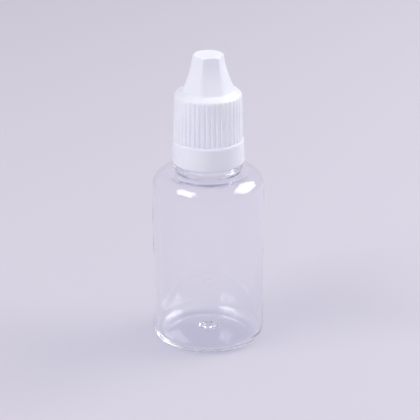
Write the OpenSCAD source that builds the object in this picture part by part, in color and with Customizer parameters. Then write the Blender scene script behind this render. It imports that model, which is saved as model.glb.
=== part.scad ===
// Dropper bottle of about 30 ml: a clear bottle with a pressed-in dropper, a screw cap and a tamper ring.
// Z is up, the axis of the bottle is the Z axis, and the origin is the centre of the ring it stands on.

/* [Body] */
// Outside diameter of the body
body_d = 32; // [30:0.5:44]
// Height of the shoulder where it meets the neck
shoulder_h = 51.7; // [40:0.5:80]
// Wall of the body
body_wall = 0.7; // [0.5:0.05:1.0]
// Wall of the shoulder
shoulder_wall = 1.1; // [0.7:0.1:1.5]
// Radius of the outer corner between body and shoulder
shoulder_r = 4.7; // [4:0.1:5.5]
// Radius of the inner corner between body and shoulder
shoulder_inner_r = 3.8; // [3:0.1:4.5]
// Slope of the shoulder, in degrees
shoulder_slope = 3; // [1:1:10]

/* [Base] */
// Radius of the heel
heel_r = 3.4; // [2.5:0.1:4.5]
// Radius of the inner corner at the heel
heel_inner_r = 2.6; // [1.8:0.1:3.5]
// Width of the flat ring that the bottle stands on
stand_w = 0.8; // [0.4:0.1:2]
// Height of the push-up at the centre of the base
pushup_h = 1.9; // [1.2:0.1:3]
// Wall of the base
base_wall = 1.1; // [0.7:0.1:1.8]
// Diameter of the raised disc inside the base
nub_d = 5.4; // [3:0.2:8]
// Height of the raised disc inside the base
nub_h = 0.45; // [0.3:0.05:1]
// Diameter of the moulding gate under the base
gate_d = 2.4; // [1.5:0.1:4]
// Depth of the moulding gate under the base
gate_h = 0.6; // [0.3:0.1:0.9]

/* [Neck] */
// Outside diameter of the neck
neck_d = 15.8; // [15:0.1:16.6]
// Wall of the neck
neck_wall = 1.6; // [1.2:0.1:2]
// Height of the neck above the support ring
neck_h = 17.4; // [16:0.1:20]
// How far the collar under the support ring stands out from the neck
collar_out = 0.9; // [0.5:0.1:1.4]
// Height of the collar, from the shoulder to the support ring
collar_h = 1.1; // [1:0.05:2]
// Radius of the fillet from the shoulder to the collar
collar_fillet = 0.8; // [0.4:0.1:0.9]
// Radius of the inner corner where the bore opens into the body
bore_fillet = 2.4; // [1.4:0.1:3]
// How far the support ring stands out from the neck
support_out = 2.0; // [1.6:0.1:2.4]
// Thickness of the support ring
support_t = 1.1; // [0.7:0.1:1.5]
// How far the bead that holds the tamper ring stands out from the neck
bead_out = 1.15; // [0.95:0.05:1.3]
// Height of the bead's flat underside above the support ring
bead_rise = 3.4; // [2.8:0.1:4]
// Width of the bead's outer land
bead_land = 0.5; // [0.3:0.1:0.8]
// How far the screw thread stands out from the neck
thread_out = 0.65; // [0.5:0.05:0.8]

/* [Dropper insert] */
// How far the flange's edge lies inside the neck's side
flange_inset = 0.3; // [0.1:0.1:0.8]
// Thickness of the flange
flange_t = 1.0; // [0.7:0.1:1.4]
// Length of the barrel below the flange
barrel_h = 9.4; // [6:0.2:13]
// Wall of the barrel
barrel_wall = 0.9; // [0.6:0.1:1.3]
// Number of sealing ribs on the barrel
seal_count = 3; // [2:1:4]
// Height of one sealing rib, along the barrel
seal_h = 0.8; // [0.5:0.1:1.2]
// Height of the nozzle above the flange
nozzle_h = 9.7; // [8.5:0.1:11]
// Diameter of the nozzle at the flange
nozzle_base_d = 8.4; // [7.4:0.1:9]
// Diameter of the nozzle at its tip
nozzle_tip_d = 3.3; // [2.9:0.1:3.8]
// Diameter of the hole at the nozzle's tip
orifice_d = 0.9; // [0.7:0.05:1.1]
// Length of the narrow hole at the tip
orifice_h = 2.2; // [1.8:0.1:3]
// Wall of the nozzle
nozzle_wall = 1.0; // [0.7:0.1:1.2]
// Radius of the rounded edge at the nozzle's tip
tip_edge_r = 0.5; // [0.2:0.1:0.7]

/* [Tamper ring] */
// Wall of the tamper ring at its lower edge
ring_wall = 1.0; // [0.9:0.05:1.4]
// Height of the tamper ring
ring_h = 7.0; // [6:0.1:8]
// Inward lean of the ring's side, in degrees
ring_draft = 1.6; // [0.5:0.1:2]
// Height of the sloped step at the ring's top
step_h = 0.6; // [0.3:0.1:1]
// Radius of the rounded edge at the ring's foot
foot_edge_r = 0.4; // [0.2:0.05:0.5]
// Number of lugs that catch under the bead
lug_count = 8; // [4:1:10]
// Width of one lug, in degrees
lug_angle = 24; // [12:1:30]
// Overlap of a lug under the bead
lug_catch = 0.45; // [0.25:0.05:0.6]
// Height of one lug
lug_h = 1.5; // [1.2:0.1:1.8]
// Slit between the tamper ring and the cap
slit_h = 0.2; // [0.15:0.05:0.4]
// Width of one break bridge
bridge_w = 1.0; // [0.6:0.1:1.6]
// How far a break bridge lies in from both faces of the ring's top
bridge_inset = 0.1; // [0.05:0.01:0.15]

/* [Cap] */
// Wall of the skirt over its ribs, at its lower edge
skirt_wall = 1.13; // [1:0.01:1.4]
// Inward lean of the skirt's side, in degrees
skirt_draft = 1.5; // [0.5:0.1:1.8]
// Number of grooves round the skirt
groove_count = 42; // [24:2:48]
// Width of one groove
groove_w = 0.68; // [0.4:0.02:0.8]
// Depth of one groove at the skirt's lower edge
groove_depth = 0.5; // [0.4:0.02:0.6]
// Thickness of the crown at its rim
crown_t = 1.05; // [0.9:0.05:1.6]
// Radius of the rounded rim above the grooves
rim_r = 1.35; // [0.8:0.05:1.5]
// Slope of the dome between rim and nose, in degrees
dome_slope = 29; // [24:1:36]

/* [Nose] */
// Diameter of the nose at its top
nose_d = 9.1; // [8.8:0.05:9.6]
// Lean of the nose's side at its top, in degrees
nose_top_lean = 7; // [4:1:10]
// Lean of the nose's side at its foot, in degrees
nose_foot_lean = 27; // [22:1:30]
// Radius of the rounded edge at the nose's top
nose_edge_r = 0.65; // [0.3:0.05:0.8]
// Radius of the fillet between dome and nose
nose_fillet = 1.0; // [0.6:0.1:1.4]
// Number of flats round the nose
flute_count = 6; // [5:1:7]
// Depth of one flat, measured level from the nose's side
flute_depth = 0.55; // [0.4:0.05:0.65]
// Turn of the flats about the axis, in degrees
flute_turn = 11; // [0:1:60]
// Wall of the nose behind a flat
nose_wall = 1.0; // [0.8:0.05:1.3]
// Thickness of the nose's top
nose_top_t = 1.8; // [1.2:0.1:2.4]
// Length of the sealing pin inside the nozzle's hole
pin_reach = 1.3; // [0.8:0.1:1.6]

/* [Fits] */
// Gap between the support ring and the tamper ring
ring_foot_gap = 0.5; // [0.4:0.1:0.8]
// Gap between the bead and the tamper ring's inside
bead_gap = 0.3; // [0.2:0.05:0.4]
// Gap between the thread and the skirt's inside
thread_gap = 0.25; // [0.15:0.05:0.35]
// Gap between the barrel and the bore, between the sealing ribs
barrel_gap = 0.1; // [0.06:0.02:0.2]
// Squeeze of a sealing rib in the bore
seal_press = 0.04; // [0.02:0.01:0.08]
// Gap between the lugs and the bead's underside
lug_gap = 0.4; // [0.3:0.05:0.6]
// Gap between the flange's top and the cap's inner ceiling
ceiling_gap = 0.5; // [0.4:0.05:0.8]
// Room between the nozzle's tip and the inside of the nose's top
tip_gap = 2.3; // [1.8:0.1:2.8]
// Gap round the sealing pin in the nozzle's hole
pin_gap = 0.08; // [0.05:0.01:0.1]

/* [Hidden] */
$fn = 96;

// Steps of one rounded corner, and of one long curve
corner_steps = 8;
curve_steps = 14;
// Small broken edge on the mouldings, and how far a cutter reaches past what it cuts
edge = 0.25;
past = 0.5;
bridge_count = 8;

body_r = body_d / 2;
inner_r = body_r - body_wall;
neck_r = neck_d / 2;
bore_r = neck_r - neck_wall;
collar_r = neck_r + collar_out;
support_r = neck_r + support_out;
bead_r = neck_r + bead_out;

// Heights of the neck's features
support_foot = shoulder_h + collar_h;
support_top = support_foot + support_t;
bead_foot = support_top + bead_rise;
neck_rim = support_top + neck_h;

// Heights of the dropper insert
flange_top = neck_rim + flange_t;
nozzle_top = flange_top + nozzle_h;
orifice_r = orifice_d / 2;

// The tamper ring hangs between the support ring and the bead
ring_foot = support_top + ring_foot_gap;
ring_top = ring_foot + ring_h;
ring_bore_r = bead_r + bead_gap;
ring_r = ring_bore_r + ring_wall;
lug_top = bead_foot - lug_gap;

// The cap's skirt clears the thread, and its crown clears the flange
skirt_foot = ring_top + slit_h;
skirt_bore_r = neck_r + thread_out + thread_gap;
cap_r = skirt_bore_r + skirt_wall;
cap_ceiling = flange_top + ceiling_gap;
skirt_h = cap_ceiling + crown_t - skirt_foot;
skirt_top_r = cap_r - skirt_h * tan(skirt_draft);

// Circle through the push-up's centre and the inner edge of the standing ring
stand_r = body_r - heel_r;
dish_r = stand_r - stand_w;
dish_arc_r = (dish_r * dish_r + pushup_h * pushup_h) / (2 * pushup_h);

// The rim's arc runs from the skirt's side to the dome's slope
rim_centre = [skirt_top_r - rim_r * cos(skirt_draft), skirt_foot + skirt_h - rim_r * sin(skirt_draft)];
rim_end = rim_centre + rim_r * [sin(dome_slope), cos(dome_slope)];

// The nose's side is one hollow arc between its two leans, and a fillet joins it to the dome
nose_r = nose_d / 2;
nose_ceiling = nozzle_top + tip_gap;
nose_top = nose_ceiling + nose_top_t;
nose_arc_top = nose_top - nose_edge_r;
lean_rise = sin(nose_foot_lean) - sin(nose_top_lean);
lean_run = cos(nose_top_lean) - cos(nose_foot_lean);
fillet_tangent = nose_fillet * tan((90 - dome_slope - nose_foot_lean) / 2);
// Where the nose's foot comes to lie if the arc met the dome's slope on the axis side of the rim
foot_at_nose_r = rim_end[1] + (rim_end[0] - nose_r - fillet_tangent * sin(nose_foot_lean)) * tan(dome_slope)
    + fillet_tangent * cos(nose_foot_lean);
nose_arc_r = (nose_arc_top - foot_at_nose_r) / (lean_rise - lean_run * tan(dome_slope));
nose_foot_r = nose_r + nose_arc_r * lean_run;
nose_foot = nose_arc_top - nose_arc_r * lean_rise;
foot_direction = [cos(nose_foot_lean), sin(nose_foot_lean)];
nose_arc_centre = [nose_foot_r, nose_foot] + nose_arc_r * foot_direction;
fillet_centre = [nose_foot_r, nose_foot] + nose_fillet * foot_direction;
nose_side = concat(
    arc(fillet_centre, nose_fillet, 270 - dome_slope, 180 + nose_foot_lean, corner_steps),
    arc(nose_arc_centre, nose_arc_r, 180 + nose_foot_lean, 180 + nose_top_lean, curve_steps));

// Points of an arc about a centre, from one angle to another
function arc(centre, r, from, to, steps) =
    [for (i = [0:steps])
        let (a = from + (to - from) * i / steps)
        centre + r * [cos(a), sin(a)]];

// A list of points in the opposite order, for a path that is walked back
function backwards(points) = [for (i = [len(points) - 1:-1:0]) points[i]];

// Height of the shoulder's sloped top at a radius, or of the inside a wall below it
function shoulder_line(r, wall) =
    shoulder_h - (r - collar_r) * tan(shoulder_slope) - wall / cos(shoulder_slope);

// Corner between an upright side and the shoulder's slope
function shoulder_corner(side_r, r, wall) =
    arc([side_r - r, shoulder_line(side_r - r, wall) - r / cos(shoulder_slope)],
        r, 0, 90 - shoulder_slope, corner_steps);

// Fillet between the shoulder's slope and the upright side of the neck or the bore
function neck_fillet(side_r, r, wall) =
    arc([side_r + r, shoulder_line(side_r + r, wall) + r / cos(shoulder_slope)],
        r, 270 - shoulder_slope, 180, corner_steps);

// The push-up's curve from a radius out to the standing ring, raised by a wall
function dish(from_r, raise) =
    arc([0, pushup_h - dish_arc_r + raise], dish_arc_r,
        acos(from_r / dish_arc_r), acos(dish_r / dish_arc_r), curve_steps);

module bottle() {
    floor_curve = dish(nub_d / 2, base_wall);
    nub_top = floor_curve[0][1] + nub_h;
    outside = concat(
        [[0, pushup_h - gate_h], [gate_d / 2, pushup_h - gate_h]],
        dish(gate_d / 2, 0),
        arc([stand_r, heel_r], heel_r, -90, 0, corner_steps),
        shoulder_corner(body_r, shoulder_r, 0),
        neck_fillet(collar_r, collar_fillet, 0));
    neck_side = [
        [collar_r, support_foot],
        [support_r - edge, support_foot],
        [support_r, support_foot + edge],
        [support_r, support_top - edge],
        [support_r - edge, support_top],
        [neck_r, support_top],
        [neck_r, bead_foot],
        [bead_r, bead_foot],
        [bead_r, bead_foot + bead_land],
        [neck_r, bead_foot + bead_land + bead_out],
        [neck_r, neck_rim - edge],
        [neck_r - edge, neck_rim],
        [bore_r + edge, neck_rim],
        [bore_r, neck_rim - edge]];
    inside = concat(
        backwards(neck_fillet(bore_r, bore_fillet, shoulder_wall)),
        backwards(shoulder_corner(inner_r, shoulder_inner_r, shoulder_wall)),
        backwards(arc([inner_r - heel_inner_r, base_wall + heel_inner_r],
            heel_inner_r, -90, 0, corner_steps)),
        backwards(floor_curve),
        [[nub_d / 2 - edge, nub_top], [0, nub_top]]);
    color([0.86, 0.90, 0.96, 0.45])
        rotate_extrude()
            polygon(concat(outside, neck_side, inside));
}

module dropper_insert() {
    flange_r = neck_r - flange_inset;
    barrel_r = bore_r - barrel_gap;
    barrel_foot = neck_rim - barrel_h;
    hollow_r = barrel_r - barrel_wall;
    base_r = nozzle_base_d / 2;
    tip_r = nozzle_tip_d / 2;
    // Lean of the nozzle's side, and its hollow a wall inside that side
    slant = atan((base_r - tip_r) / nozzle_h);
    cavity_top = nozzle_top - orifice_h;
    cavity_top_r = tip_r + orifice_h * tan(slant) - nozzle_wall / cos(slant);
    cavity_foot_r = base_r - nozzle_wall / cos(slant);
    seal_pitch = (barrel_h - 2 * seal_h) / seal_count;
    seals = [for (i = [0:seal_count - 1])
        let (z = barrel_foot + 2 * seal_h + i * seal_pitch)
        each [[barrel_r, z - seal_h / 2], [bore_r + seal_press, z], [barrel_r, z + seal_h / 2]]];
    side = concat(
        [[hollow_r + edge, barrel_foot],
         [barrel_r - 2 * edge, barrel_foot],
         [barrel_r, barrel_foot + seal_h]],
        seals,
        [[barrel_r, neck_rim],
         [flange_r, neck_rim],
         [flange_r, flange_top - edge],
         [flange_r - edge, flange_top],
         [base_r, flange_top]],
        arc([tip_r - tip_edge_r, nozzle_top - tip_edge_r], tip_edge_r, 0, 90, corner_steps),
        [[orifice_r, nozzle_top],
         [orifice_r, cavity_top + edge],
         [cavity_top_r, cavity_top],
         [cavity_foot_r, flange_top],
         [hollow_r, neck_rim - (hollow_r - cavity_foot_r)],
         [hollow_r, barrel_foot + edge]]);
    color([0.94, 0.95, 0.96])
        rotate_extrude()
            polygon(side);
}

module tamper_ring() {
    step_foot = ring_top - step_h;
    side = concat(
        [[ring_bore_r + edge, ring_foot]],
        arc([ring_r - foot_edge_r, ring_foot + foot_edge_r], foot_edge_r, -90, 0, corner_steps),
        [[ring_r - (step_foot - ring_foot) * tan(ring_draft), step_foot],
         [cap_r, ring_top],
         [ring_bore_r, ring_top],
         [ring_bore_r, ring_foot + edge]]);
    // A lug slopes in from below, so that the ring snaps over the bead once and then holds
    lug = [[ring_bore_r + edge, lug_top - lug_h],
           [ring_bore_r - edge, lug_top - lug_h],
           [bead_r - lug_catch, lug_top - edge],
           [bead_r - lug_catch, lug_top],
           [ring_bore_r + edge, lug_top]];
    color([0.93, 0.93, 0.97]) {
        rotate_extrude()
            polygon(side);
        for (i = [0:lug_count - 1])
            rotate(i * 360 / lug_count)
                rotate_extrude(angle = lug_angle)
                    polygon(lug);
    }
}

// One of the thin bridges that break when the cap is first turned
module bridge(index) {
    low_r = ring_bore_r + bridge_inset;
    high_r = cap_r - bridge_inset;
    color([0.93, 0.93, 0.97])
        rotate((index - 0.5) * 360 / bridge_count)
            translate([low_r, -bridge_w / 2, ring_top])
                cube([high_r - low_r, bridge_w, slit_h]);
}

// One upright groove in the skirt, which runs out where the rounded rim curves in past its floor
module groove() {
    translate([cap_r - groove_depth + groove_w / 2, 0, skirt_foot - past])
        cylinder(d = groove_w, h = skirt_h + rim_r + past, $fn = 24);
}

// What is cut away in front of one flat: its floor is the nose's side moved in, and ends level at the dome
module flute() {
    reach = 2 * cap_r;
    floor_line = [for (p = nose_side) p - [flute_depth, 0]];
    floor_top_r = nose_r - flute_depth;
    rotate([90, 0, 0])
        translate([0, 0, -reach / 2])
            linear_extrude(reach)
                polygon(concat(
                    [[reach, floor_line[0][1]]],
                    floor_line,
                    [[floor_top_r, nose_top + past], [reach, nose_top + past]]));
}

module cap() {
    // The hollow of the nose lies one wall behind the floors of the flats
    hollow_arc_r = nose_arc_r + flute_depth + nose_wall;
    ceiling_lean = asin((nose_arc_centre[1] - nose_ceiling) / hollow_arc_r);
    hollow_side = arc(nose_arc_centre, hollow_arc_r, 180 + ceiling_lean, 180 + nose_foot_lean, curve_steps);
    hollow_foot_r = hollow_side[curve_steps][0];
    pin_foot = nozzle_top - pin_reach;
    pin_r = orifice_r - pin_gap;
    outside = concat(
        [[cap_r, skirt_foot]],
        arc(rim_centre, rim_r, -skirt_draft, 90 - dome_slope, corner_steps),
        nose_side,
        arc([nose_r - nose_edge_r, nose_arc_top], nose_edge_r, 0, 90, corner_steps),
        [[0, nose_top]]);
    inside = concat(
        [[0, pin_foot],
         [pin_r / 2, pin_foot],
         [pin_r, pin_foot + pin_r],
         [pin_r, nose_ceiling]],
        hollow_side,
        [[hollow_foot_r, cap_ceiling],
         [skirt_bore_r - edge, cap_ceiling],
         [skirt_bore_r, cap_ceiling - edge],
         [skirt_bore_r, skirt_foot + edge],
         [skirt_bore_r + edge, skirt_foot]]);
    color([0.95, 0.95, 0.98])
        difference() {
            rotate_extrude()
                polygon(concat(outside, inside));
            for (i = [0:groove_count - 1])
                rotate(i * 360 / groove_count)
                    groove();
            for (i = [0:flute_count - 1])
                rotate(i * 360 / flute_count - 90 + flute_turn)
                    flute();
        }
}

bottle();
dropper_insert();
tamper_ring();
cap();
bridge(1);  // bridge_1
bridge(2);  // bridge_2
bridge(3);  // bridge_3
bridge(4);  // bridge_4
bridge(5);  // bridge_5
bridge(6);  // bridge_6
bridge(7);  // bridge_7
bridge(8);  // bridge_8
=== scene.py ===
import math

import bmesh
import bpy
import numpy as np
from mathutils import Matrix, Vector


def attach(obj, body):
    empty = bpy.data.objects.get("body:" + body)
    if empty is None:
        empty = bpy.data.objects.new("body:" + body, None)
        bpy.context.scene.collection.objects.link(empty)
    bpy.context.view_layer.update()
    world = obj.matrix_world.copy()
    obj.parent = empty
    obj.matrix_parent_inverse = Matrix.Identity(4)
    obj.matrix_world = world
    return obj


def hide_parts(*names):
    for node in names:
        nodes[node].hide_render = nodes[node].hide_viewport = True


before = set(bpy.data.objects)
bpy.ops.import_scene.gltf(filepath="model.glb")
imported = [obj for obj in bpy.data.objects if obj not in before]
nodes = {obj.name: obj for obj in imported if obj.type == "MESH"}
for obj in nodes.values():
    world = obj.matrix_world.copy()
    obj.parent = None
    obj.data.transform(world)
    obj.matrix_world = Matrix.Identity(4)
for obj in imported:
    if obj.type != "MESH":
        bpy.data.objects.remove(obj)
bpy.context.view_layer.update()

print("frame loaded:", len(nodes), "nodes")

mm = 0.001  # sizes below are millimetres, and angles are degrees


def hexToLinear(code):
    # sRGB hex to linear, with alpha
    parts = [int(code[i:i + 2], 16) / 255 for i in (1, 3, 5)]
    return [c / 12.92 if c <= 0.04045 else ((c + 0.055) / 1.055) ** 2.4 for c in parts] + [1.0]


# Profiles: lists of (radius, height) pairs, turned about the bottle's axis

def arc(centre, r, start, end, steps):
    angles = np.radians(np.linspace(start, end, steps + 1))
    return [(centre[0] + r * math.cos(a), centre[1] + r * math.sin(a)) for a in angles]


def rounded(corners, r, steps=4):
    # an open outline with every inner corner rounded to r, or to what its sides allow
    straight, sideShare = 0.02, 0.45  # too slight a turn to round; a corner's share of a side
    points = [Vector(p) for p in corners]
    out = [tuple(points[0])]
    for before, here, after in zip(points, points[1:], points[2:]):
        a, b = (before - here), (after - here)
        turn = math.pi - a.angle(b)
        if turn < straight:
            out.append(tuple(here))
            continue
        cut = min(r * math.tan(turn / 2), a.length * sideShare, b.length * sideShare)
        start, end = here + a.normalized() * cut, here + b.normalized() * cut
        for i in range(steps + 1):
            t = i / steps
            out.append(tuple(start * (1 - t) ** 2 + here * 2 * t * (1 - t) + end * t ** 2))
    out.append(tuple(points[-1]))
    return out


def spaced(points, longest, fine=None):
    # splits long stretches evenly; fine is (lowest height, highest height, longest stretch there)
    longSide, besideEnd = 0.7, 0.05
    out = [points[0]]
    for a, b in zip(points, points[1:]):
        length = math.dist(a, b)
        limit = longest
        if fine and max(a[1], b[1]) > fine[0] and min(a[1], b[1]) < fine[1]:
            limit = fine[2]
        count = max(1, math.ceil(length / limit))
        stops = [i / count for i in range(1, count + 1)]
        if length > longSide:  # a row close to each end keeps a flat side flat beside its rounded edge
            near = besideEnd / length
            stops = sorted(set([near] + stops[:-1] + [1 - near, 1.0]))
        out += [(a[0] + (b[0] - a[0]) * t, a[1] + (b[1] - a[1]) * t) for t in stops]
    return out


def turned(name, parts, columns, closed=False):
    # one closed skin from profile parts, each (points, shape); shape moves the radius by angle
    weld = 1e-7  # metres; the points on the axis lie this close
    radii, heights = [], []
    angles = np.linspace(0, 2 * math.pi, columns, endpoint=False)
    for points, shape in parts:
        r = np.array([p[0] for p in points], float)[:, None] * np.ones(columns)
        z = np.array([p[1] for p in points], float)[:, None] * np.ones(columns)
        if shape:
            r = shape(r, z, angles[None, :])
        radii.append(r)
        heights.append(z)
    r, z = np.vstack(radii), np.vstack(heights)
    places = np.stack([r * np.sin(angles), -r * np.cos(angles), z], -1) * mm
    rows = len(r)
    mesh = bpy.data.meshes.new(name)
    grid = np.arange(rows * columns).reshape(rows, columns)
    bands = rows if closed else rows - 1
    low = grid[np.arange(bands)]
    high = grid[(np.arange(bands) + 1) % rows]
    faces = np.stack([low, np.roll(low, -1, 1), np.roll(high, -1, 1), high], -1).reshape(-1, 4)
    mesh.from_pydata(places.reshape(-1, 3).tolist(), [], faces.tolist())
    made = bmesh.new()
    made.from_mesh(mesh)
    bmesh.ops.remove_doubles(made, verts=made.verts, dist=weld)
    bmesh.ops.recalc_face_normals(made, faces=made.faces)
    for face in made.faces:
        face.smooth = True
    made.to_mesh(mesh)
    made.free()
    piece = bpy.data.objects.new(name, mesh)
    bpy.context.scene.collection.objects.link(piece)
    print("turned", name, len(mesh.polygons), "faces")
    return piece


def smoothStep(x):
    x = np.clip(x, 0, 1)
    return x * x * (3 - 2 * x)


def softMin(a, b, blend):
    # the smaller of two, with a rounded edge where they cross
    h = np.clip(0.5 + 0.5 * (b - a) / blend, 0, 1)
    return b + (a - b) * h - blend * h * (1 - h)


touching = 0.01  # a point this close to a wall's radius lies on that wall


# Materials

def addNode(tree, kind, settings=None, links=None):
    # settings are attributes, or input names with their values; links are input names with sockets
    made = tree.nodes.new(kind)
    for key, value in (settings or {}).items():
        if key in made.inputs:
            made.inputs[key].default_value = value
        else:
            setattr(made, key, value)
    for key, socket in (links or {}).items():
        tree.links.new(socket, made.inputs[key])
    return made


def newMaterial(name):
    material = bpy.data.materials.new(name)
    material.use_nodes = True
    material.node_tree.nodes.clear()
    return material, material.node_tree


def anyRay(tree, kinds):
    # 1 for a ray of any of these kinds, and 0 for every other
    path = addNode(tree, "ShaderNodeLightPath")
    found = path.outputs[kinds[0]]
    for kind in kinds[1:]:
        larger = addNode(tree, "ShaderNodeMath", {"operation": "MAXIMUM"},
                         {0: found, 1: path.outputs[kind]})
        found = larger.outputs[0]
    return found


def letThrough(tree, shader, passing, kinds):
    # rays of these kinds go straight on through each side of a wall, tinted by the passing colour
    through = addNode(tree, "ShaderNodeBsdfTransparent", {"Color": hexToLinear(passing)})
    mix = addNode(tree, "ShaderNodeMixShader", None,
                  {0: anyRay(tree, kinds), 1: shader.outputs[0], 2: through.outputs[0]})
    addNode(tree, "ShaderNodeOutputMaterial", None, {"Surface": mix.outputs[0]})


def mouldedPlastic(name, p):
    # injection moulded: faint clouds of colour and gloss, mould grain, and light scattered inside
    material, tree = newMaterial(name)
    coords = addNode(tree, "ShaderNodeTexCoord")
    cloud = addNode(tree, "ShaderNodeTexNoise", {"Scale": 1 / (p["cloudMm"] * mm), "Detail": 2.0},
                    {"Vector": coords.outputs["Object"]})
    colour = addNode(tree, "ShaderNodeMix", {"data_type": "RGBA"}, {"Factor": cloud.outputs["Fac"]})
    colour.inputs[6].default_value = hexToLinear(p["colour"])
    colour.inputs[7].default_value = hexToLinear(p["shade"])
    gloss = addNode(tree, "ShaderNodeMapRange", {"To Min": p["roughness"][0], "To Max": p["roughness"][1]},
                    {"Value": cloud.outputs["Fac"]})
    grain = addNode(tree, "ShaderNodeTexNoise",
                    {"Scale": 1 / (p["grainMm"] * mm), "Detail": p["grainDetail"]},
                    {"Vector": coords.outputs["Object"]})
    bump = addNode(tree, "ShaderNodeBump", {"Distance": p["grainDepthMm"] * mm, "Strength": 1.0},
                   {"Height": grain.outputs["Fac"]})
    shader = addNode(tree, "ShaderNodeBsdfPrincipled",
                     {"IOR": p["ior"], "Subsurface Weight": p["scatter"],
                      "Subsurface Scale": p["scatterMm"] * mm, "Subsurface Radius": p["scatterRgb"]},
                     {"Base Color": colour.outputs[2], "Roughness": gloss.outputs[0],
                      "Normal": bump.outputs["Normal"]})
    # lamps shine on through a thin milky wall, so that it glows a little from inside
    letThrough(tree, shader, p["passing"], ["Is Shadow Ray"])
    return material


polypropylene = {
    "colour": "#f0f1fc", "shade": "#e9eaf8", "cloudMm": 7,  # white masterbatch, faintly cool
    "grainMm": 0.22, "grainDetail": 3.0, "grainDepthMm": 0.006, "roughness": (0.34, 0.44), "ior": 1.49,
    "scatter": 0.55, "scatterMm": 1.4, "scatterRgb": (1.0, 0.95, 0.9), "passing": "#e6e6ea",
}


def mouldedPolypropylene():
    # polypropylene, moulded in a lightly eroded tool: satin, softly lit from inside
    return mouldedPlastic("moulded_polypropylene", polypropylene)


polyethylene = {
    "colour": "#eceeef", "shade": "#e2e6e8", "cloudMm": 4,  # natural, milky
    "grainMm": 0.3, "grainDetail": 2.0, "grainDepthMm": 0.004, "roughness": (0.38, 0.5), "ior": 1.51,
    "scatter": 0.6, "scatterMm": 2.5, "scatterRgb": (1.0, 1.0, 1.0), "passing": "#efefef",
}


def naturalPolyethylene():
    # low-density polyethylene, moulded without pigment: waxy and translucent
    return mouldedPlastic("natural_polyethylene", polyethylene)


polyester = {
    "tint": "#fdfdff", "passing": "#f4f5f8",  # clear with the faint cool cast of the resin
    "waveMm": (5.0, 5.0, 16.0), "waveDepthMm": 0.05,
    "roughness": (0.006, 0.02), "ior": 1.575,
}


def blownPolyester():
    # clear PET, stretch blown: glossy, with long faint waves drawn up the wall
    p = polyester
    material, tree = newMaterial("blown_polyester")
    coords = addNode(tree, "ShaderNodeTexCoord")
    stretch = addNode(tree, "ShaderNodeVectorMath", {"operation": "MULTIPLY"},
                      {0: coords.outputs["Object"]})
    stretch.inputs[1].default_value = [1 / (s * mm) for s in p["waveMm"]]
    wave = addNode(tree, "ShaderNodeTexNoise", {"Scale": 1.0, "Detail": 1.0},
                   {"Vector": stretch.outputs[0]})
    bump = addNode(tree, "ShaderNodeBump", {"Distance": p["waveDepthMm"] * mm, "Strength": 1.0},
                   {"Height": wave.outputs["Fac"]})
    gloss = addNode(tree, "ShaderNodeMapRange", {"To Min": p["roughness"][0], "To Max": p["roughness"][1]},
                    {"Value": wave.outputs["Fac"]})
    shader = addNode(tree, "ShaderNodeBsdfPrincipled",
                     {"Base Color": hexToLinear(p["tint"]), "IOR": p["ior"], "Transmission Weight": 1.0},
                     {"Roughness": gloss.outputs[0], "Normal": bump.outputs["Normal"]})
    # lamps reach what stands behind and under the clear wall
    letThrough(tree, shader, p["passing"], ["Is Shadow Ray", "Is Diffuse Ray"])
    return material


whitePlastic = mouldedPolypropylene()
milkyPlastic = naturalPolyethylene()
clearPlastic = blownPolyester()
print("materials made")


def dress(piece, material, body, replaced):
    piece.data.materials.clear()
    piece.data.materials.append(material)
    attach(piece, body)
    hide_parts(replaced)


# Screw thread, shared by the neck and the cap

thread = {
    "lead": 3.0, "turns": 1.6, "foot": 64.2, "crest": 0.5, "root": 1.25,
    "neckOut": 0.65, "capIn": 0.62, "runOut": 35, "start": 40,
}


def threadRise(z, angle, foot, height):
    # how far the ridge stands out at a height and an angle, fading at both ends of its helix
    t = thread
    rise = np.zeros(np.broadcast(z, angle).shape)
    turnedBy = np.degrees(angle) - t["start"]
    for lap in range(-1, int(t["turns"]) + 2):
        along = turnedBy + 360 * lap
        middle = foot + t["lead"] * along / 360
        ends = smoothStep(along / t["runOut"]) * smoothStep((360 * t["turns"] - along) / t["runOut"])
        side = (t["root"] / 2 - np.abs(z - middle)) / (t["root"] / 2 - t["crest"] / 2)
        rise = np.maximum(rise, height * ends * smoothStep(side))
    return rise


# Bottle

bottleSize = {
    "bodyR": 16.0, "wall": 0.7, "shoulder": 51.7, "shoulderWall": 1.1, "shoulderR": 4.7,
    "shoulderInnerR": 3.8, "slope": 3, "heelR": 3.4, "heelInnerR": 2.6, "standW": 0.8, "pushup": 1.9,
    "baseWall": 1.1, "nubR": 2.7, "nubH": 0.45, "nubSlant": 0.3, "nubEdge": 0.3,
    "dimpleIn": 0.8, "dimpleR": 1.3, "dimpleH": 0.4,
    "gateR": 1.2, "gateH": 0.6, "gateEdge": 0.15, "gateStep": 0.05,
    "neckR": 7.9, "neckWall": 1.6, "neckH": 17.4, "boreFillet": 2.4,
    "collarR": 8.8, "collarH": 1.1, "collarFillet": 0.8, "supportR": 9.9, "supportT": 1.1,
    "beadR": 9.05, "beadRise": 3.4, "beadLand": 0.5, "edge": 0.2,
    "collarJoin": 0.3, "boreJoin": 1,  # where the parts of the outline meet, below a corner
    "row": 2.0, "threadRow": 0.16, "columns": 192,  # how finely the skin is divided
}


def shoulderAt(r, wall):
    b = bottleSize
    slope = math.radians(b["slope"])
    return b["shoulder"] - (r - b["collarR"]) * math.tan(slope) - wall / math.cos(slope)


def shoulderCorner(side, r, wall):
    slope = math.radians(bottleSize["slope"])
    centre = (side - r, shoulderAt(side - r, wall) - r / math.cos(slope))
    return arc(centre, r, 0, 90 - bottleSize["slope"], 20)


def neckFillet(side, r, wall):
    slope = math.radians(bottleSize["slope"])
    centre = (side + r, shoulderAt(side + r, wall) + r / math.cos(slope))
    return arc(centre, r, 270 - bottleSize["slope"], 180, 12)


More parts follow.
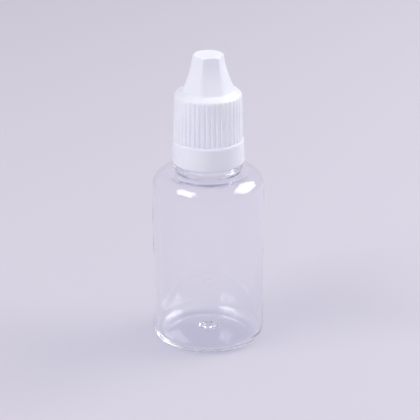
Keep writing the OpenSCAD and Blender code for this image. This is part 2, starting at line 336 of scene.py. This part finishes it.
def dish(fromR, raised):
    # the pushed-up base, one arc from a radius out to the ring it stands on
    b = bottleSize
    outR = b["bodyR"] - b["heelR"] - b["standW"]
    r = (outR ** 2 + b["pushup"] ** 2) / (2 * b["pushup"])
    start, end = math.degrees(math.acos(fromR / r)), math.degrees(math.acos(outR / r))
    return arc((0, b["pushup"] - r + raised), r, start, end, 24)


def bottleProfile():
    b = bottleSize
    bore = b["neckR"] - b["neckWall"]
    innerR = b["bodyR"] - b["wall"]
    standR = b["bodyR"] - b["heelR"]
    ringFoot = b["shoulder"] + b["collarH"]
    ringTop = ringFoot + b["supportT"]
    bead = ringTop + b["beadRise"]
    beadTop = bead + b["beadLand"]
    rim = ringTop + b["neckH"]
    gateTop = b["pushup"] - b["gateH"]
    outside = rounded([(0, gateTop), (b["gateR"], gateTop), dish(b["gateR"], 0)[0]], b["gateEdge"])
    outside += dish(b["gateR"] + b["gateStep"], 0) + arc((standR, b["heelR"]), b["heelR"], -90, 0, 20)
    outside += shoulderCorner(b["bodyR"], b["shoulderR"], 0) + neckFillet(b["collarR"], b["collarFillet"], 0)
    neck = rounded([
        (b["collarR"], ringFoot - b["collarJoin"]), (b["collarR"], ringFoot), (b["supportR"], ringFoot),
        (b["supportR"], ringTop), (b["neckR"], ringTop), (b["neckR"], bead), (b["beadR"], bead),
        (b["beadR"], beadTop), (b["neckR"], beadTop + b["beadR"] - b["neckR"]),
        (b["neckR"], rim), (bore, rim), (bore, rim - b["boreJoin"]),
    ], b["edge"])
    heel = (innerR - b["heelInnerR"], b["baseWall"] + b["heelInnerR"])
    inside = neckFillet(bore, b["boreFillet"], b["shoulderWall"])[::-1]
    inside += shoulderCorner(innerR, b["shoulderInnerR"], b["shoulderWall"])[::-1]
    inside += arc(heel, b["heelInnerR"], -90, 0, 16)[::-1]
    floor = dish(b["nubR"], b["baseWall"])
    nubTop = floor[0][1] + b["nubH"]
    dimple = nubTop - b["dimpleH"]
    nub = [floor[0], (b["nubR"] - b["nubSlant"], nubTop), (b["nubR"] - b["dimpleIn"], nubTop),
           (b["dimpleR"], dimple), (0, dimple)]
    inside += floor[::-1][:-1] + rounded(nub, b["nubEdge"], 6)
    threadRows = (ringTop, rim - b["edge"], b["threadRow"])  # fine where the thread stands out
    skin = spaced(outside + neck, b["row"], threadRows)
    return skin + spaced([neck[-1]] + inside, b["row"])[1:]


def neckThread(r, z, angle):
    # only the outside of the neck, between the bead and the rim
    onNeck = np.abs(r - bottleSize["neckR"]) < touching
    return r + np.where(onNeck, threadRise(z, angle, thread["foot"], thread["neckOut"]), 0)


bottle = turned("clear_bottle", [(bottleProfile(), neckThread)], bottleSize["columns"])
dress(bottle, clearPlastic, "bottle", "bottle")

# Dropper insert

insertSize = {
    "rim": 71.3, "flangeR": 7.6, "flangeT": 1.0, "barrelR": 6.2, "boreR": 6.3, "barrelH": 9.4,
    "barrelWall": 0.9, "leadIn": 0.5, "seals": 3, "sealH": 0.8, "sealGap": 0.02,
    "nozzleH": 9.7, "nozzleR": 4.2, "tipR": 1.65, "tipEdge": 0.5, "tipAim": 0.2,
    "holeR": 0.45, "holeH": 2.2, "holeEdge": 0.1, "holeRise": 0.25,
    "wall": 1.0, "edge": 0.25, "innerEdge": 0.12,
    "startUp": 1, "endUp": 1.2,  # the outline closes on the inner wall, this far up from the foot
    "row": 1.0, "columns": 96,
}


def insertProfile():
    s = insertSize
    rim, foot = s["rim"], s["rim"] - s["barrelH"]
    flange = rim + s["flangeT"]
    top = flange + s["nozzleH"]
    hollow = s["barrelR"] - s["barrelWall"]
    slant = math.atan((s["nozzleR"] - s["tipR"]) / s["nozzleH"])
    cavityTop = top - s["holeH"]
    cavityTopR = s["tipR"] + s["holeH"] * math.tan(slant) - s["wall"] / math.cos(slant)
    cavityR = s["nozzleR"] - s["wall"] / math.cos(slant)
    pitch = (s["barrelH"] - 2 * s["sealH"]) / s["seals"]
    seals = []
    for i in range(s["seals"]):
        z = foot + 2 * s["sealH"] + i * pitch
        seals += [(s["barrelR"], z - s["sealH"] / 2), (s["boreR"] - s["sealGap"], z),
                  (s["barrelR"], z + s["sealH"] / 2)]
    lower = [(hollow, foot + s["startUp"]), (hollow, foot), (s["barrelR"] - s["leadIn"], foot),
             (s["barrelR"], foot + s["sealH"])]
    upper = [(s["barrelR"], rim), (s["flangeR"], rim), (s["flangeR"], flange),
             (s["nozzleR"], flange), (s["tipR"], top - s["tipAim"])]
    outside = rounded(lower + seals + upper, s["edge"])[:-1]
    tip = arc((s["tipR"] - s["tipEdge"], top - s["tipEdge"]), s["tipEdge"], 0, 90, 8)
    inside = rounded([
        (s["holeR"] + s["holeEdge"], top), (s["holeR"], top - s["holeEdge"]),
        (s["holeR"], cavityTop + s["holeRise"]), (cavityTopR, cavityTop), (cavityR, flange),
        (hollow, rim - (hollow - cavityR)), (hollow, foot + s["endUp"]),
    ], s["innerEdge"])
    return spaced(outside + tip + inside, s["row"])


insert = turned("dropper", [(insertProfile(), None)], insertSize["columns"], closed=True)
dress(insert, milkyPlastic, "bottle", "dropper_insert")

# Tamper ring

ringSize = {
    "foot": 54.4, "height": 7.0, "boreR": 9.35, "footR": 10.35, "topR": 9.93, "draft": 1.6, "step": 0.6,
    "edge": 0.4, "edgeJoin": 0.1, "smallEdge": 0.12,
    "lugs": 8, "lugAngle": 24, "lugSide": 3, "lugIn": 0.75, "lugH": 1.5, "lugTop": 56.9,
    "row": 0.9, "lugRow": 0.15, "lugMargin": 0.3, "columns": 384,  # how finely the skin is divided
}


def ringProfile():
    s = ringSize
    top = s["foot"] + s["height"]
    stepFoot = top - s["step"]
    stepR = s["footR"] - (stepFoot - s["foot"]) * math.tan(math.radians(s["draft"]))
    outside = arc((s["footR"] - s["edge"], s["foot"] + s["edge"]), s["edge"], -90, 0, 8)
    sideFoot = s["foot"] + s["edge"] + s["edgeJoin"]
    outside += rounded([(s["footR"], sideFoot), (stepR, stepFoot), (s["topR"], top),
                        (s["boreR"], top), (s["boreR"], s["foot"]), outside[0]], s["smallEdge"])
    lugRows = (s["lugTop"] - s["lugH"] - s["lugMargin"], s["lugTop"] + s["lugMargin"], s["lugRow"])
    return spaced(outside[:-1], s["row"], lugRows)


def ringLugs(r, z, angle):
    # lugs inside, sloping in from below and undercut at the top, where they catch the bead
    s = ringSize
    onBore = np.abs(r - s["boreR"]) < touching
    along = np.degrees(angle) % (360 / s["lugs"])
    across = smoothStep(along / s["lugSide"]) * smoothStep((s["lugAngle"] - along) / s["lugSide"])
    up = np.clip((z - (s["lugTop"] - s["lugH"])) / s["lugH"], 0, 1) * (z < s["lugTop"] + touching)
    return r - np.where(onBore, s["lugIn"] * across * up, 0)


tamperRing = turned("tamper_band", [(ringProfile(), ringLugs)], ringSize["columns"], closed=True)
dress(tamperRing, whitePlastic, "tamper_ring", "tamper_ring")

# Cap

capSize = {
    "foot": 61.6, "lip": 0.1, "outR": 9.93, "boreR": 8.8, "ceiling": 72.8, "crown": 1.05, "draft": 1.5,
    "grooves": 42, "grooveDepth": 0.5, "grooveFloor": 0.26, "grooveMouth": 0.78, "rimR": 1.35, "dome": 29,
    "noseR": 4.55, "noseTopLean": 7, "noseFootLean": 27, "noseEdge": 0.65, "noseFillet": 1.0,
    "flats": 6, "flatDepth": 0.55, "flatTurn": 11, "wallBehind": 1.0,
    "noseCeiling": 84.3, "topT": 1.8, "pinFoot": 80.7, "pinR": 0.37,
    "edge": 0.2, "softEdge": 0.1, "smallEdge": 0.12,
    "footIn": 0.4, "footOut": 0.5, "hem": 0.5,  # where the parts of the outline meet at the skirt's foot
    "row": 0.8, "threadFrom": 1, "threadRow": 0.2,  # how finely the skin is divided
    "runOutBelow": 0.2, "runOutAbove": 0.9, "runOutRow": 0.05, "columns": 672,
}


def noseCurves():
    # the hollow curve of the nose's side and the fillet that joins it to the dome
    c = capSize
    draft, dome = math.radians(c["draft"]), math.radians(c["dome"])
    topLean, footLean = math.radians(c["noseTopLean"]), math.radians(c["noseFootLean"])
    height = c["ceiling"] + c["crown"] - c["foot"]
    skirtTopR = c["outR"] - height * math.tan(draft)
    rim = (skirtTopR - c["rimR"] * math.cos(draft), c["foot"] + height - c["rimR"] * math.sin(draft))
    rimEnd = (rim[0] + c["rimR"] * math.sin(dome), rim[1] + c["rimR"] * math.cos(dome))
    top = c["noseCeiling"] + c["topT"] - c["noseEdge"]
    tangent = c["noseFillet"] * math.tan((math.pi / 2 - dome - footLean) / 2)
    rise = math.sin(footLean) - math.sin(topLean)
    run = math.cos(topLean) - math.cos(footLean)
    low = rimEnd[1] + (rimEnd[0] - c["noseR"] - tangent * math.sin(footLean)) * math.tan(dome)
    low += tangent * math.cos(footLean)
    r = (top - low) / (rise - run * math.tan(dome))
    foot = (c["noseR"] + r * run, top - r * rise)
    away = (math.cos(footLean), math.sin(footLean))
    centre = (foot[0] + r * away[0], foot[1] + r * away[1])
    fillet = (foot[0] + c["noseFillet"] * away[0], foot[1] + c["noseFillet"] * away[1])
    side = arc(fillet, c["noseFillet"], 270 - c["dome"], 180 + c["noseFootLean"], 24)
    side += arc(centre, r, 180 + c["noseFootLean"], 180 + c["noseTopLean"], 60)[1:]
    return {"rim": rim, "top": top, "r": r, "centre": centre, "side": side}


nose = noseCurves()
flatHeights = [p[1] for p in nose["side"]]
flatDistances = [p[0] - capSize["flatDepth"] for p in nose["side"]]  # the nose's side moved in, level
noFlat = 100  # below the nose the flats lie out of reach


def capOutside(r, z, angle):
    # grooves up the skirt, which run out on the rounded rim, and flats on the nose
    c = capSize
    pitch = 360 / c["grooves"]
    aside = np.abs(np.degrees(angle) % pitch - pitch / 2)
    across = np.radians(aside) * r
    floorHalf, mouthHalf = c["grooveFloor"] / 2, c["grooveMouth"] / 2
    inGroove = 1 - smoothStep((across - floorHalf) / (mouthHalf - floorHalf))
    depth = np.maximum(r - (c["outR"] - c["grooveDepth"]), 0)
    onSkirt = z < nose["rim"][1] + c["rimR"]
    r = r - np.where(onSkirt, depth * inGroove, 0)
    flatPitch = 360 / c["flats"]
    off = np.radians((np.degrees(angle) - c["flatTurn"] + flatPitch / 2) % flatPitch - flatPitch / 2)
    distance = np.interp(z, flatHeights, flatDistances, left=noFlat) / np.cos(off)
    return np.where(z > flatHeights[0], softMin(r, distance, c["softEdge"]), r)


def capInnerThread(r, z, angle):
    # half a lead above the neck's ridge, so that each ridge runs in the other's gap
    onBore = np.abs(r - capSize["boreR"]) < touching
    rise = threadRise(z, angle, thread["foot"] + thread["lead"] / 2, thread["capIn"])
    return r - np.where(onBore, rise, 0)


def capProfile():
    c = capSize
    hollowR = nose["r"] + c["flatDepth"] + c["wallBehind"]
    lean = math.degrees(math.asin((nose["centre"][1] - c["noseCeiling"]) / hollowR))
    hollow = arc(nose["centre"], hollowR, 180 + lean, 180 + c["noseFootLean"], 20)
    pin = [(0, c["pinFoot"]), (c["pinR"] / 2, c["pinFoot"]), (c["pinR"], c["pinFoot"] + c["pinR"]),
           (c["pinR"], c["noseCeiling"]), hollow[0]]
    inside = rounded(pin, c["smallEdge"]) + hollow[1:-1]
    low = c["foot"] - c["lip"]  # the lip closes half of the slit above the ring
    inside += rounded([hollow[-1], (hollow[-1][0], c["ceiling"]), (c["boreR"], c["ceiling"]),
                       (c["boreR"], low), (c["boreR"] + c["footIn"], low)], c["edge"])
    hemR = c["outR"] - c["hem"] * math.tan(math.radians(c["draft"]))
    outside = rounded([(c["boreR"] + c["footOut"], low), (c["outR"], low), (hemR, c["foot"] + c["hem"])],
                      c["smallEdge"])
    outside += arc(nose["rim"], c["rimR"], -c["draft"], 90 - c["dome"], 24)
    outside += nose["side"] + arc((c["noseR"] - c["noseEdge"], nose["top"]), c["noseEdge"], 0, 90, 10)
    outside += [(0, c["noseCeiling"] + c["topT"])]
    runOut = flatHeights[0]  # where the flats end at the dome
    threadRows = (c["foot"] + c["threadFrom"], c["ceiling"], c["threadRow"])
    runOutRows = (runOut - c["runOutBelow"], runOut + c["runOutAbove"], c["runOutRow"])
    return [(spaced(inside, c["row"], threadRows), capInnerThread),
            (spaced(outside, c["row"], runOutRows), capOutside)]


cap = turned("screw_cap", capProfile(), capSize["columns"])
dress(cap, whitePlastic, "cap", "cap")

for name, node in nodes.items():
    if name.startswith("bridge_"):  # these keep their solids and take the cap's plastic
        node.data.materials.clear()
        node.data.materials.append(whitePlastic)
print("pieces dressed")

# Room: a pale floor that runs out of view, soft lamps left, right and in front, and an even pale sky

room = {
    "floor": "#d2cedc", "floorM": 40, "floorDropM": 0.00005, "sky": "#d2cedc", "fill": 0.28,
    "paleFromM": 0.35, "paleToM": 1.6,  # lit by the lamps near the bottle, an even backdrop further out
    "lampAimM": 0.045,
    "bounces": 32,  # light runs along inside the clear wall for many bounces
}

# the camera sees floor and sky straight, by a reflection or through the clear wall
seenRays = ["Is Camera Ray", "Is Glossy Ray", "Is Transmission Ray"]


def makeFloor():
    half, low = room["floorM"] / 2, -room["floorDropM"]
    corners = [(-half, -half, low), (half, -half, low), (half, half, low), (-half, half, low)]
    mesh = bpy.data.meshes.new("floor")
    mesh.from_pydata(corners, [], [(0, 1, 2, 3)])
    floor = bpy.data.objects.new("floor", mesh)
    bpy.context.scene.collection.objects.link(floor)
    material, tree = newMaterial("matt_board")
    shader = addNode(tree, "ShaderNodeBsdfPrincipled",
                     {"Base Color": hexToLinear(room["floor"]), "Roughness": 0.9, "Specular IOR Level": 0.1})
    coords = addNode(tree, "ShaderNodeTexCoord")
    away = addNode(tree, "ShaderNodeVectorMath", {"operation": "LENGTH"}, {0: coords.outputs["Object"]})
    fade = addNode(tree, "ShaderNodeMapRange", {"From Min": room["paleFromM"], "From Max": room["paleToM"]},
                   {"Value": away.outputs["Value"]})
    share = addNode(tree, "ShaderNodeMath", {"operation": "MULTIPLY"},
                    {0: fade.outputs[0], 1: anyRay(tree, seenRays)})
    backdrop = addNode(tree, "ShaderNodeEmission", {"Color": hexToLinear(room["sky"])})
    mix = addNode(tree, "ShaderNodeMixShader", None,
                  {0: share.outputs[0], 1: shader.outputs[0], 2: backdrop.outputs[0]})
    addNode(tree, "ShaderNodeOutputMaterial", None, {"Surface": mix.outputs[0]})
    mesh.materials.append(material)


def makeSky():
    world = bpy.data.worlds.new("studio")
    bpy.context.scene.world = world
    world.use_nodes = True
    tree = world.node_tree
    tree.nodes.clear()
    shown = addNode(tree, "ShaderNodeBackground", {"Color": hexToLinear(room["sky"]), "Strength": 1.0})
    fill = addNode(tree, "ShaderNodeBackground", {"Color": hexToLinear("#ffffff"), "Strength": room["fill"]})
    mix = addNode(tree, "ShaderNodeMixShader", None,
                  {0: anyRay(tree, seenRays), 1: fill.outputs[0], 2: shown.outputs[0]})
    addNode(tree, "ShaderNodeOutputWorld", None, {"Surface": mix.outputs[0]})


lamps = {
    # azimuth from the camera's side towards +X, height angle, distance and side lengths in metres,
    # how bright the panel itself is, where 1 is pure white, and whether gloss mirrors it
    "left": {"azimuth": -61, "height": 48, "away": 1.0, "size": (0.6, 0.42), "bright": 6.2, "glint": True},
    "right": {"azimuth": 107, "height": 39, "away": 1.0, "size": (0.8, 0.6), "bright": 5.4, "glint": True},
    "front": {"azimuth": -25, "height": 8, "away": 1.6, "size": (1.5, 0.9), "bright": 1.3, "glint": False},
}


def makeLamps():
    middle = Vector((0, 0, room["lampAimM"]))
    for name, lamp in lamps.items():
        a, e = math.radians(lamp["azimuth"]), math.radians(lamp["height"])
        way = Vector((math.sin(a) * math.cos(e), -math.cos(a) * math.cos(e), math.sin(e)))
        light = bpy.data.lights.new(name, "AREA")
        light.shape = "RECTANGLE"
        light.size, light.size_y = lamp["size"]
        light.energy = lamp["bright"] * math.pi * lamp["size"][0] * lamp["size"][1]
        holder = bpy.data.objects.new(name, light)
        bpy.context.scene.collection.objects.link(holder)
        holder.location = middle + way * lamp["away"]
        holder.rotation_mode = "QUATERNION"
        holder.rotation_quaternion = way.to_track_quat("Z", "Y")
        holder.visible_glossy = lamp["glint"]
        holder.visible_transmission = lamp["glint"]


photo = {
    # the photograph's viewpoint: height angle, distance, aimed height, sideways step, lens
    "height": 22.06, "away": 630.3, "aim": 39.07, "aside": 0.52, "lens": 187.8, "sensor": 36,
    "nearM": 0.01, "farM": 100,
}


def makeCamera():
    e = math.radians(photo["height"])
    way = Vector((0, -math.cos(e), math.sin(e)))
    camera = bpy.data.objects.new("camera", bpy.data.cameras.new("camera"))
    bpy.context.scene.collection.objects.link(camera)
    camera.data.lens = photo["lens"]
    camera.data.sensor_width = photo["sensor"]
    camera.data.clip_start, camera.data.clip_end = photo["nearM"], photo["farM"]
    camera.location = Vector((photo["aside"], 0, photo["aim"])) * mm + way * photo["away"] * mm
    camera.rotation_mode = "QUATERNION"
    camera.rotation_quaternion = way.to_track_quat("Z", "Y")
    bpy.context.scene.camera = camera


makeFloor()
makeSky()
makeLamps()
makeCamera()
bpy.context.scene.view_settings.view_transform = "Standard"
for kind in ("max_bounces", "glossy_bounces", "transmission_bounces", "transparent_max_bounces"):
    setattr(bpy.context.scene.cycles, kind, room["bounces"])
print("room lit")
